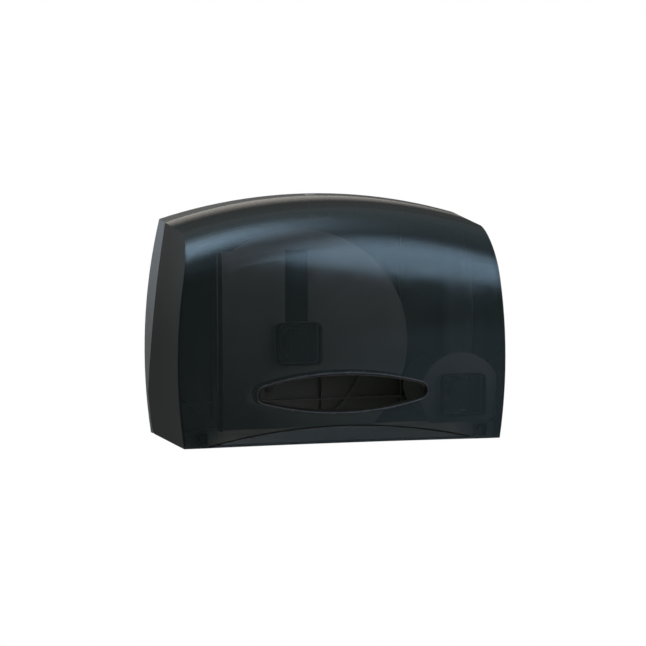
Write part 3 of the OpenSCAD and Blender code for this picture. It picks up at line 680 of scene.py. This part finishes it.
class Bench:
    """Operator helpers that shape one piece at a time."""

    BEVEL_ANGLE = math.radians(38)
    SMOOTH_ANGLE = math.radians(35)
    MERGE_DISTANCE = 0.001 * MM
    SECTION_STEPS = 3

    @staticmethod
    def choose(piece: bpy.types.Object) -> None:
        """Selects one piece alone and makes it active.

        Args:
            piece: The piece.
        """
        bpy.ops.object.select_all(action="DESELECT")
        piece.select_set(True)
        bpy.context.view_layer.objects.active = piece

    @staticmethod
    def start(name: str, add: Callable[..., Any], **values: Any) -> bpy.types.Object:
        """Adds a primitive that a piece grows from.

        Args:
            name: The piece's name.
            add: The operator that adds the primitive.
            **values: The operator's sizes and place.

        Returns:
            The new object, selected alone.
        """
        bpy.ops.object.select_all(action="DESELECT")
        add(**values)
        piece = bpy.context.object
        piece.name = name
        return piece

    @staticmethod
    def pick(piece: bpy.types.Object, test: Callable[[bpy.types.MeshPolygon], bool]) -> None:
        """Enters edit mode with the faces selected that pass a test.

        Args:
            piece: The piece.
            test: Says whether a face is wanted.
        """
        Bench.choose(piece)
        bpy.ops.object.mode_set(mode="EDIT")
        bpy.ops.mesh.select_mode(type="FACE")
        bpy.ops.mesh.select_all(action="DESELECT")
        bpy.ops.object.mode_set(mode="OBJECT")
        for face in piece.data.polygons:
            face.select = test(face)
        bpy.ops.object.mode_set(mode="EDIT")

    @staticmethod
    def extrude(shift: Point = (0, 0, 0), factor: Point = (1, 1, 1)) -> None:
        """Extrudes the selection, moves it and scales it about its middle."""
        bpy.ops.mesh.extrude_region_move(TRANSFORM_OT_translate={"value": shift})
        bpy.ops.transform.resize(value=factor)

    @staticmethod
    def modify(piece: bpy.types.Object, kind: str, **values: Any) -> None:
        """Adds a modifier, sets it and applies it.

        Args:
            piece: The piece.
            kind: The modifier's type.
            **values: Its settings.
        """
        Bench.choose(piece)
        modifier = piece.modifiers.new(kind.lower(), kind)
        for key, value in values.items():
            setattr(modifier, key, value)
        bpy.ops.object.modifier_apply(modifier=modifier.name)

    @staticmethod
    def soften(piece: bpy.types.Object, width: float, segments: int = 2) -> None:
        """Rounds a piece's sharp edges and shades it smoothly.

        Args:
            piece: The piece.
            width: The rounding's width.
            segments: How many steps it has.
        """
        Bench.modify(piece, "BEVEL", width=width, segments=segments, limit_method="ANGLE",
                     angle_limit=Bench.BEVEL_ANGLE, harden_normals=False)
        Bench.smooth(piece)

    @staticmethod
    def smooth(piece: bpy.types.Object) -> None:
        """Merges doubles, turns all faces outwards and shades the piece smoothly.

        Args:
            piece: The piece.
        """
        Bench.choose(piece)
        bpy.ops.object.mode_set(mode="EDIT")
        bpy.ops.mesh.select_all(action="SELECT")
        bpy.ops.mesh.remove_doubles(threshold=Bench.MERGE_DISTANCE)
        bpy.ops.mesh.normals_make_consistent(inside=False)
        bpy.ops.object.mode_set(mode="OBJECT")
        bpy.ops.object.shade_smooth_by_angle(angle=Bench.SMOOTH_ANGLE)

    @staticmethod
    def copy(piece: bpy.types.Object, place: Matrix) -> bpy.types.Object:
        """Copies a piece with a mesh of its own, and moves the mesh.

        Args:
            piece: The piece to copy.
            place: The move, as a matrix.

        Returns:
            The copy.
        """
        twin = piece.copy()
        twin.data = piece.data.copy()
        twin.data.transform(place)
        for key in list(twin.keys()):
            del twin[key]
        bpy.context.scene.collection.objects.link(twin)
        return twin

    @staticmethod
    def cord(name: str, points: Sequence[Point], radius: float, closed: bool) -> bpy.types.Object:
        """Sweeps a round section along points and makes it a mesh.

        Args:
            name: The piece's name.
            points: The points that it follows.
            radius: The section's radius.
            closed: Whether the last point joins the first.

        Returns:
            The swept piece.
        """
        data = bpy.data.curves.new(name, "CURVE")
        data.dimensions = "3D"
        data.bevel_depth = radius
        data.bevel_resolution = Bench.SECTION_STEPS
        data.use_fill_caps = not closed
        spline = data.splines.new("POLY")
        spline.points.add(len(points) - 1)
        for spot, point in zip(spline.points, points):
            spot.co = (*point, 1)
        spline.use_cyclic_u = closed
        piece = bpy.data.objects.new(name, data)
        bpy.context.scene.collection.objects.link(piece)
        Bench.choose(piece)
        bpy.ops.object.convert(target="MESH")
        Bench.smooth(bpy.context.object)
        return bpy.context.object


@dataclass
class Piece:
    """What every sub-assembly needs: the dresser, and a way to hand a piece over."""

    dresser: Dresser

    def hand_over(self, piece: bpy.types.Object, body: Body, finish: Finish,
                  nodes: Sequence[str] = ()) -> None:
        """Gives a finished piece its material and body.

        Args:
            piece: The piece.
            body: The body that it rides on.
            finish: Its finish.
            nodes: The CAD nodes that it stands for.
        """
        piece.data.materials.clear()
        piece.data.materials.append(self.dresser.material(finish))
        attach(piece, body.value)
        if nodes:
            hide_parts(*nodes)
        LOG.info("made %s with %d faces", piece.name, len(piece.data.polygons))


@dataclass
class Screws(Piece):
    """Pan-head screws with cross recesses in place of the CAD's plain ones."""

    sides: int = 32
    top_facing: float = 0.9
    shank_r: float = 1.6 * MM
    head_r: float = 3.0 * MM
    head_t: float = 1.6 * MM
    slot_half: float = 1.75 * MM
    slot_t: float = 0.75 * MM
    slot_d: float = 1.0 * MM
    rounding: float = 0.08 * MM
    main_ring_r: float = 14.5 * MM
    stub_ring_r: float = 13.5 * MM
    ring_angles: tuple[float, ...] = (90.0, 210.0, 330.0)
    head_steps: tuple[tuple[float, float], ...] = ((0.5, 1.0), (0.35, 0.93), (0.15, 0.8))
    pattern: dict[float, bpy.types.Object] = field(default_factory=dict)

    def blank(self, length: float) -> bpy.types.Object:
        """Models one screw with its head's seat at the origin and its head up, once for each length.

        Args:
            length: The shank's length.

        Returns:
            The screw that the others are copied from.
        """
        if length in self.pattern:
            return self.pattern[length]
        screw = Bench.start("screw", bpy.ops.mesh.primitive_cylinder_add, vertices=self.sides,
                            radius=self.shank_r, depth=length, location=(0, 0, -length / 2))
        bpy.ops.object.transform_apply(location=True)
        Bench.pick(screw, lambda face: face.normal.z > self.top_facing)
        wide = self.head_r / self.shank_r
        Bench.extrude(factor=(wide, wide, 1))
        for share, narrow in self.head_steps:
            Bench.extrude(shift=(0, 0, self.head_t * share), factor=(narrow, narrow, 1))
        bpy.ops.object.mode_set(mode="OBJECT")
        Bench.modify(screw, "BOOLEAN", object=self.cutter(), operation="DIFFERENCE", solver="EXACT")
        bpy.data.objects.remove(bpy.data.objects["cutter"])
        Bench.soften(screw, self.rounding, segments=1)
        screw.hide_render = True
        self.pattern[length] = screw
        return screw

    def cutter(self) -> bpy.types.Object:
        """Models the cross that cuts the recess.

        Returns:
            The cross.
        """
        bars = []
        for turn in (0.0, math.pi / 2):
            bar = Bench.start("cutter", bpy.ops.mesh.primitive_cube_add, size=1, rotation=(0, 0, turn),
                              location=(0, 0, self.head_t))
            bar.scale = (2 * self.slot_half, self.slot_t, 2 * self.slot_d)
            bpy.ops.object.transform_apply(location=True, rotation=True, scale=True)
            bars.append(bar)
        bars[0].name, bars[1].name = "cutter", "cutter_bar"
        Bench.modify(bars[0], "BOOLEAN", object=bars[1], operation="UNION", solver="EXACT")
        bpy.data.objects.remove(bars[1])
        return bars[0]

    def fit(self, node: str, body: Body, finish: Finish, facing: Facing, spots: Sequence[Point]) -> None:
        """Puts a screw at each spot as one piece.

        Args:
            node: The CAD node that the screws stand for.
            body: The body that they ride on.
            finish: Their finish.
            facing: The way that their heads face.
            spots: Where their heads' tops are.
        """
        low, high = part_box(node)
        way = Vector(facing.value)
        length = round(abs((high - low).dot(way)) - self.head_t, 6)
        turn = way.to_track_quat("Z", "Y").to_matrix().to_4x4()
        blank = self.blank(length)
        heads = [Bench.copy(blank, Matrix.Translation(Vector(spot) - way * self.head_t) @ turn)
                 for spot in spots]
        Bench.choose(heads[0])
        for head in heads[1:]:
            head.select_set(True)
        if len(heads) > 1:
            bpy.ops.object.join()
        piece = bpy.context.object
        piece.hide_render = False
        piece.name = node + "_set"
        self.hand_over(piece, body, finish, [node])

    def ring(self, node: str, ring_r: float) -> None:
        """Fits a post's foot screws.

        Args:
            node: The CAD node that they stand for.
            ring_r: The radius of the ring that they lie on.
        """
        low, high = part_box(node)
        x, z = (low.x + high.x) / 2, high.z - self.head_r - ring_r
        spots = [(x + ring_r * math.cos(math.radians(a)), low.y, z + ring_r * math.sin(math.radians(a)))
                 for a in self.ring_angles]
        self.fit(node, Body.WALL, STEEL, Facing.FRONT, spots)

    def pair(self, node: str) -> None:
        """Fits two screws of the cover, whose heads face the wall.

        Args:
            node: The CAD node that they stand for.
        """
        low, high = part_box(node)
        spots = [(x, high.y, (low.z + high.z) / 2) for x in (low.x + self.head_r, high.x - self.head_r)]
        self.fit(node, Body.COVER, SPRING, Facing.WALL, spots)

    def build(self) -> None:
        """Fits all the screws."""
        self.ring("main_post_screws", self.main_ring_r)
        self.ring("stub_post_screws", self.stub_ring_r)
        for node in ("rail_screws", "strike_screws"):
            self.pair(node)
        low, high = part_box("brake_screw")
        middle = (low + high) / 2
        self.fit("brake_screw", Body.WALL, SPRING, Facing.FRONT, [(middle.x, low.y, middle.z)])
        low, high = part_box("cam_screw")
        middle = (low + high) / 2
        self.fit("cam_screw", Body.LOCK, STEEL, Facing.DOWN, [(middle.x, middle.y, low.z)])
        for blank in self.pattern.values():
            bpy.data.objects.remove(blank)


@dataclass
class Opening(Piece):
    """The hand opening's bead and the tapered lip inside it."""

    half_length: float = 92 * MM
    half_height: float = 20 * MM
    tip_r: float = 8.5 * MM
    rim_w: float = 2.2 * MM
    bead_r: float = 0.85 * MM
    lip_depth: float = 5.5 * MM
    lip_reach: float = 1.8 * MM
    lip_t: float = 0.7 * MM
    lip_steps: int = 4
    lip_overlap: float = 0.05 * MM
    lip_rounding: float = 0.2 * MM
    bead_sink: float = 0.1 * MM
    lip_sink: float = 0.4 * MM
    arc_steps: int = 48
    tip_steps: int = 24
    front_y: float = -150 * MM
    centre_z: float = -66.5 * MM

    def outline(self, grow: float) -> list[tuple[float, float]]:
        """The opening's outline: two long arcs and two tips.

        Args:
            grow: How far outside the opening it runs.

        Returns:
            The outline's points, as X and Z.
        """
        a, b, t = self.half_length, self.half_height, self.tip_r
        arc_r = ((a - t) ** 2 + b * b - t * t) / (2 * (b - t))
        reach = math.asin((a - t) / (arc_r - t))
        points: list[tuple[float, float]] = []
        for x, z, radius, start, end, steps in (
                (0, b - arc_r, arc_r, -reach, reach, self.arc_steps),
                (a - t, 0, t, reach, math.pi - reach, self.tip_steps),
                (0, arc_r - b, arc_r, math.pi - reach, math.pi + reach, self.arc_steps),
                (t - a, 0, t, math.pi + reach, 2 * math.pi - reach, self.tip_steps)):
            for i in range(steps):
                angle = start + (end - start) * i / steps
                points.append((x + (radius + grow) * math.sin(angle), self.centre_z + z
                               + (radius + grow) * math.cos(angle)))
        return points

    def bead(self) -> None:
        """Sweeps the bead along the raised rim."""
        line = [(x, self.front_y + self.bead_sink, z) for x, z in self.outline(self.rim_w / 2)]
        self.hand_over(Bench.cord("opening_bead", line, self.bead_r, True), Body.COVER, BEAD_WITH_HIGHLIGHT)

    def lip(self) -> None:
        """Draws the tapered lip in from the opening's edge."""
        line = [(x, self.front_y + self.lip_sink, z) for x, z in self.outline(-self.lip_overlap)]
        data = bpy.data.meshes.new("opening_lip")
        data.from_pydata(line, [(i, (i + 1) % len(line)) for i in range(len(line))], [])
        lip = bpy.data.objects.new("opening_lip", data)
        bpy.context.scene.collection.objects.link(lip)
        Bench.choose(lip)
        bpy.ops.object.mode_set(mode="EDIT")
        bpy.ops.mesh.select_mode(type="EDGE")
        bpy.ops.mesh.select_all(action="SELECT")
        back, draw = self.lip_depth / self.lip_steps, self.lip_reach / self.lip_steps
        for i in range(self.lip_steps):
            left = self.lip_reach * i / self.lip_steps
            factor = (1 - draw / (self.half_length - left), 1, 1 - draw / (self.half_height - left))
            bpy.ops.mesh.extrude_edges_move(TRANSFORM_OT_translate={"value": (0, back, 0)})
            bpy.ops.transform.resize(value=factor)
        bpy.ops.object.mode_set(mode="OBJECT")
        Bench.smooth(lip)
        Bench.modify(lip, "SOLIDIFY", thickness=self.lip_t, offset=0)
        Bench.soften(lip, self.lip_rounding)
        self.hand_over(lip, Body.COVER, LIP)

    def build(self) -> None:
        """Makes both pieces."""
        self.bead()
        self.lip()


@dataclass
class Scoop(Piece):
    """The fine dark line of painted shadow along the scoop's edge and the seal along the cover's foot."""

    radius: float = 600.1 * MM
    height: float = 19 * MM
    set_back: float = 6 * MM
    wall: float = 3 * MM
    foot_z: float = -120 * MM
    front_y: float = -150 * MM
    line_left: float = -146 * MM
    line_right: float = 138 * MM
    line_r: float = 0.7 * MM
    line_sink: float = 0.1 * MM
    line_steps: int = 90
    seal_half: float = 171 * MM
    seal_r: float = 1.35 * MM
    seal_steps: int = 96

    def line(self) -> None:
        """Lays the dark line of painted shadow along the scoop's edge."""
        centre_z = self.foot_z + self.height - self.radius
        points = []
        for i in range(self.line_steps + 1):
            x = self.line_left + (self.line_right - self.line_left) * i / self.line_steps
            z = centre_z + math.sqrt(self.radius ** 2 - x * x)
            points.append((x, self.front_y + self.line_sink, z))
        self.hand_over(Bench.cord("scoop_shadow_line", points, self.line_r, False), Body.COVER, SHADOW_LINE)

    def seal(self) -> None:
        """Lays the seal inside the cover's foot, set back where the scoop is."""
        foot_r = self.radius - self.height
        points = []
        for i in range(self.seal_steps + 1):
            x = self.seal_half * (2 * i / self.seal_steps - 1)
            back = (self.radius - math.hypot(x, foot_r)) * self.set_back / self.height
            points.append((x, self.front_y + max(back, 0) + self.wall, self.foot_z + self.seal_r))
        self.hand_over(Bench.cord("foot_seal", points, self.seal_r, False), Body.COVER, PAD)

    def build(self) -> None:
        """Makes both pieces."""
        self.line()
        self.seal()


@dataclass
class Softened(Piece):
    """Copies of plainly visible CAD nodes with their sharp edges rounded."""

    widths: dict[str, float] = field(default_factory=lambda: {
        "main_nose": 0.8 * MM, "stub_nose": 0.8 * MM, "front_rail": 0.4 * MM,
        "main_stop_plate": 0.3 * MM, "stub_stop_plate": 0.3 * MM})
    flat_angle: float = math.radians(0.5)

    def build(self) -> None:
        """Copies, merges and rounds each node."""
        for node, width in self.widths.items():
            piece = Bench.copy(frame["nodes"][node], Matrix.Identity(4))
            piece.name = node + "_soft"
            piece.parent = None
            piece.matrix_world = Matrix.Identity(4)
            Bench.smooth(piece)
            bpy.ops.object.mode_set(mode="EDIT")
            bpy.ops.mesh.select_all(action="SELECT")
            bpy.ops.mesh.dissolve_limited(angle_limit=self.flat_angle)
            bpy.ops.object.mode_set(mode="OBJECT")
            Bench.soften(piece, width)
            self.hand_over(piece, Body(frame["nodes"][node]["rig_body"]), NODE_FINISHES[node], [node])


@dataclass
class Lock(Piece):
    """The key lock's bevelled sleeve, its barrel and the shutter in its key slot."""

    sides: int = 64
    bevel: float = 0.5 * MM
    slot: Point = (6 * MM, 1.4 * MM, 16 * MM)
    shutter_drop: float = 1.2 * MM
    shutter_t: float = 0.6 * MM
    shutter_rounding: float = 0.1 * MM
    running_gap: float = 0.05 * MM

    def barrel(self) -> None:
        """Models the barrel with its key slot and the shutter inside it."""
        low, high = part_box("lock_barrel")
        middle = (low + high) / 2
        barrel = Bench.start("lock_barrel_face", bpy.ops.mesh.primitive_cylinder_add, vertices=self.sides,
                             radius=(high.x - low.x) / 2, depth=high.z - low.z, location=middle)
        bpy.ops.object.transform_apply(location=True)
        cutter = Bench.start("slot_cutter", bpy.ops.mesh.primitive_cube_add, size=1,
                             location=(middle.x, middle.y, high.z))
        cutter.scale = self.slot
        bpy.ops.object.transform_apply(location=True, scale=True)
        Bench.modify(barrel, "BOOLEAN", object=cutter, operation="DIFFERENCE", solver="EXACT")
        bpy.data.objects.remove(cutter)
        Bench.soften(barrel, self.bevel / 2)
        self.hand_over(barrel, Body.LOCK, BRASS, ["lock_barrel"])
        shutter_z = high.z - self.shutter_drop - self.shutter_t / 2
        shutter = Bench.start("lock_shutter", bpy.ops.mesh.primitive_cube_add, size=1,
                              location=(middle.x, middle.y, shutter_z))
        shutter.scale = (self.slot[0], self.slot[1], self.shutter_t)
        bpy.ops.object.transform_apply(location=True, scale=True)
        Bench.soften(shutter, self.shutter_rounding)
        self.hand_over(shutter, Body.LOCK, SPRING)

    def sleeve(self) -> None:
        """Models the sleeve as a tube with rounded ends."""
        low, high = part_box("lock_sleeve")
        barrel_low, barrel_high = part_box("lock_barrel")
        middle = (low + high) / 2
        outer, inner = (high.x - low.x) / 2, (barrel_high.x - barrel_low.x) / 2 + self.running_gap
        sleeve = Bench.start("lock_sleeve_tube", bpy.ops.mesh.primitive_cylinder_add, vertices=self.sides,
                             radius=outer, depth=high.z - low.z, end_fill_type="NOTHING", location=middle)
        bpy.ops.object.transform_apply(location=True)
        Bench.modify(sleeve, "SOLIDIFY", thickness=outer - inner, offset=-1)
        Bench.soften(sleeve, self.bevel, segments=3)
        self.hand_over(sleeve, Body.WALL, CHROME, ["lock_sleeve"])

    def build(self) -> None:
        """Makes the lock's pieces."""
        self.sleeve()
        self.barrel()


# ---- Studio ----


@dataclass
class Studio:
    """The pale floor, the soft lights and the camera."""

    azimuth: float = 14.666
    elevation: float = 5.832
    roll: float = -0.208
    distance: float = 5.0
    clip_end: float = 100.0
    focal_px: float = 4695.0
    image_px: float = 646.0
    sensor_mm: float = 36.0
    hang_height: float = 0.120
    target: Point = (-0.0007, -0.070, 0.1195)
    floor_z: float = -1.2
    floor_sides: int = 96
    floor_radius: float = 1.7
    floor_roughness: float = 0.9
    floor_specular: float = 0.1
    floor_shades: tuple[Colour, Colour] = ((0.72, 0.72, 0.72), (0.76, 0.76, 0.76))
    floor_mottle: float = 2.0
    floor_glow: float = 0.7
    floor_bounce: float = 0.05
    fill_low: float = 0.07
    fill_high: float = 0.3
    fill_low_z: float = 0.35
    fill_high_z: float = 0.9
    cool: Colour = (0.95, 0.98, 1.0)
    warm: Colour = (1.0, 0.98, 0.95)
    least_fade: float = 0.001

    def camera(self) -> None:
        """Places the camera as the photograph's was."""
        a, e, r = (math.radians(v) for v in (self.azimuth, self.elevation, self.roll))
        back = Vector((-math.sin(a) * math.cos(e), -math.cos(a) * math.cos(e), math.sin(e)))
        right = (-back).cross(Vector((0, 0, 1))).normalized()
        up = right.cross(-back)
        right, up = math.cos(r) * right + math.sin(r) * up, -math.sin(r) * right + math.cos(r) * up
        target = Vector(self.target) - Vector((0, 0, self.hang_height))
        data = bpy.data.cameras.new("camera")
        data.sensor_width = self.sensor_mm
        data.lens = self.focal_px / self.image_px * self.sensor_mm
        data.clip_end = self.clip_end
        camera = bpy.data.objects.new("camera", data)
        bpy.context.scene.collection.objects.link(camera)
        turn = Matrix((right, up, back)).transposed()
        camera.matrix_world = Matrix.Translation(target + back * self.distance) @ turn.to_4x4()
        bpy.context.scene.camera = camera

    def floor(self) -> None:
        """Lays the pale floor."""
        bpy.ops.object.select_all(action="DESELECT")
        bpy.ops.mesh.primitive_circle_add(vertices=self.floor_sides, radius=self.floor_radius,
                                          fill_type="NGON", location=(0, 0, self.floor_z))
        floor = bpy.context.object
        floor.name = "floor"
        graph = Graph("pale_floor")
        mottle = graph.noise(self.floor_mottle, detail=2)
        graph.link(graph.blend(mottle, *self.floor_shades), graph.shader.inputs["Base Color"])
        graph.shader.inputs["Roughness"].default_value = self.floor_roughness
        graph.shader.inputs["Emission Color"].default_value = (1, 1, 1, 1)
        path = graph.add("LightPath")
        graph.link(graph.remap(path.outputs["Is Camera Ray"], self.floor_bounce, self.floor_glow, 0, 1),
                   graph.shader.inputs["Emission Strength"])
        graph.shader.inputs["Specular IOR Level"].default_value = self.floor_specular
        floor.data.materials.append(graph.material)

    def area(self, name: str, place: Point, aim: Point, size: tuple[float, float], radiance: float,
             colour: Colour, fade: Fade, roll: float = 0.0) -> None:
        """Hangs a rectangular light whose face fades out towards its edges.

        Args:
            name: The light's name.
            place: Where it hangs.
            aim: The point it faces.
            size: Its width and height, in metres.
            radiance: How bright its face is.
            colour: Its colour.
            fade: The shares that fade out, of its width at the left and right, and of its height below
                and above.
            roll: How far it is turned about its own axis, in degrees.
        """
        data = bpy.data.lights.new(name, "AREA")
        data.shape = "RECTANGLE"
        data.size, data.size_y = size
        data.energy = radiance * math.pi * size[0] * size[1]
        data.color = colour
        data.use_nodes = True
        nodes = Nodes(data.node_tree)
        face = nodes.axes(nodes.add("NewGeometry").outputs["Parametric"])
        edges = [nodes.remap(face[axis], 0, 1, edge, edge + way * max(width, self.least_fade), smooth=True)
                 for axis, edge, way, width in (("X", 0, 1, fade[0]), ("X", 1, -1, fade[1]),
                                                ("Y", 0, 1, fade[2]), ("Y", 1, -1, fade[3]))]
        strength = reduce(partial(nodes.math, "MULTIPLY"), edges)
        nodes.link(strength, nodes.tree.nodes["Emission"].inputs["Strength"])
        light = bpy.data.objects.new(name, data)
        bpy.context.scene.collection.objects.link(light)
        turn = (Vector(aim) - Vector(place)).to_track_quat("-Z", "Y").to_matrix().to_4x4()
        spin = Matrix.Rotation(math.radians(roll), 4, "Z")
        light.matrix_world = Matrix.Translation(place) @ turn @ spin

    def lights(self) -> None:
        """Hangs the soft lights."""
        self.area("front_right", place=(0.67, -0.92, 0.42), aim=(0.67, 0, 0.42), size=(1.18, 0.97),
                  radiance=4.2, colour=self.cool, fade=(0.14, 0.1, 0.004, 0.6), roll=-7.5)
        self.area("front_low", place=(0.75, -0.93, -0.38), aim=(0.75, 0, -0.38), size=(1.34, 0.6),
                  radiance=0.25, colour=self.cool, fade=(0.22, 0.1, 0.1, 0.01))
        self.area("overhead", place=(-0.2, -0.66, 1.6), aim=(-0.2, -0.66, 0), size=(1.5, 2.3),
                  radiance=7.0, colour=self.cool, fade=(0.05, 0.68, 0.51, 0.49))
        self.softbox("front_left", near=(0, -0.12, 0), turn=-50, rise=30, distance=1.8, spread=(50, 50),
                     radiance=1.4, colour=self.warm)
        self.softbox("side_left", near=(-0.17, 0, 0.08), turn=-112, rise=34, distance=1.6, spread=(30, 30),
                     radiance=4.0, colour=self.cool)
        self.softbox("rear_left", near=(-0.17, -0.1, 0.05), turn=-160, rise=14, distance=2.0,
                     spread=(50, 44), radiance=0.16, colour=self.warm, fade=(0.3, 0.3, 0.5, 0.3))

    def softbox(self, name: str, near: Point, turn: float, rise: float, distance: float,
                spread: tuple[float, float], radiance: float, colour: Colour,
                fade: Fade = (0.1, 0.1, 0.1, 0.1)) -> None:
        """Hangs a soft light by where it is seen from the object.

        Args:
            name: The light's name.
            near: The point that it is aimed at.
            turn: Its direction, in degrees from straight in front towards the right.
            rise: Its height above the horizon, in degrees.
            distance: How far away it hangs.
            spread: The angles across and up that it fills, in degrees.
            radiance: How bright its face is.
            colour: Its colour.
            fade: The shares that fade out, of its width at the left and right, and of its height below
                and above.
        """
        a, e = math.radians(turn), math.radians(rise)
        way = Vector((math.sin(a) * math.cos(e), -math.cos(a) * math.cos(e), math.sin(e)))
        size = tuple(2 * distance * math.tan(math.radians(angle) / 2) for angle in spread)
        place = tuple(Vector(near) + distance * way)
        self.area(name, place, near, size, radiance, colour, fade)

    def world(self) -> None:
        """Sets a plain white backdrop and a dim, slightly warm fill."""
        world = bpy.data.worlds.new("studio")
        bpy.context.scene.world = world
        world.use_nodes = True
        nodes = Nodes(world.node_tree)
        nodes.tree.nodes.clear()
        seen = nodes.add("Background", color=(1, 1, 1, 1))
        fill = nodes.add("Background", color=(*self.warm, 1))
        up = nodes.axes(nodes.add("TexCoord").outputs["Generated"])["Z"]
        rise = nodes.remap(up, self.fill_low, self.fill_high, self.fill_low_z, self.fill_high_z, smooth=True)
        nodes.link(rise, fill.inputs["Strength"])
        mix = nodes.add("MixShader")
        sources = (nodes.add("LightPath").outputs["Is Camera Ray"], fill.outputs[0], seen.outputs[0])
        for source, target in zip(sources, mix.inputs):
            nodes.link(source, target)
        nodes.link(mix.outputs[0], nodes.add("OutputWorld").inputs["Surface"])
        bpy.context.scene.view_settings.view_transform = "Standard"

    def build(self) -> None:
        """Builds the whole studio."""
        self.camera()
        self.floor()
        self.lights()
        self.world()


def main() -> None:
    """Builds the pieces in order."""
    logging.basicConfig(level=logging.INFO, format="%(message)s")
    dresser = Dresser()
    dresser.dress_nodes()
    for assembly in (Opening, Scoop, Screws, Lock, Softened):
        assembly(dresser).build()
    Studio().build()


if __name__ == "__main__":
    main()
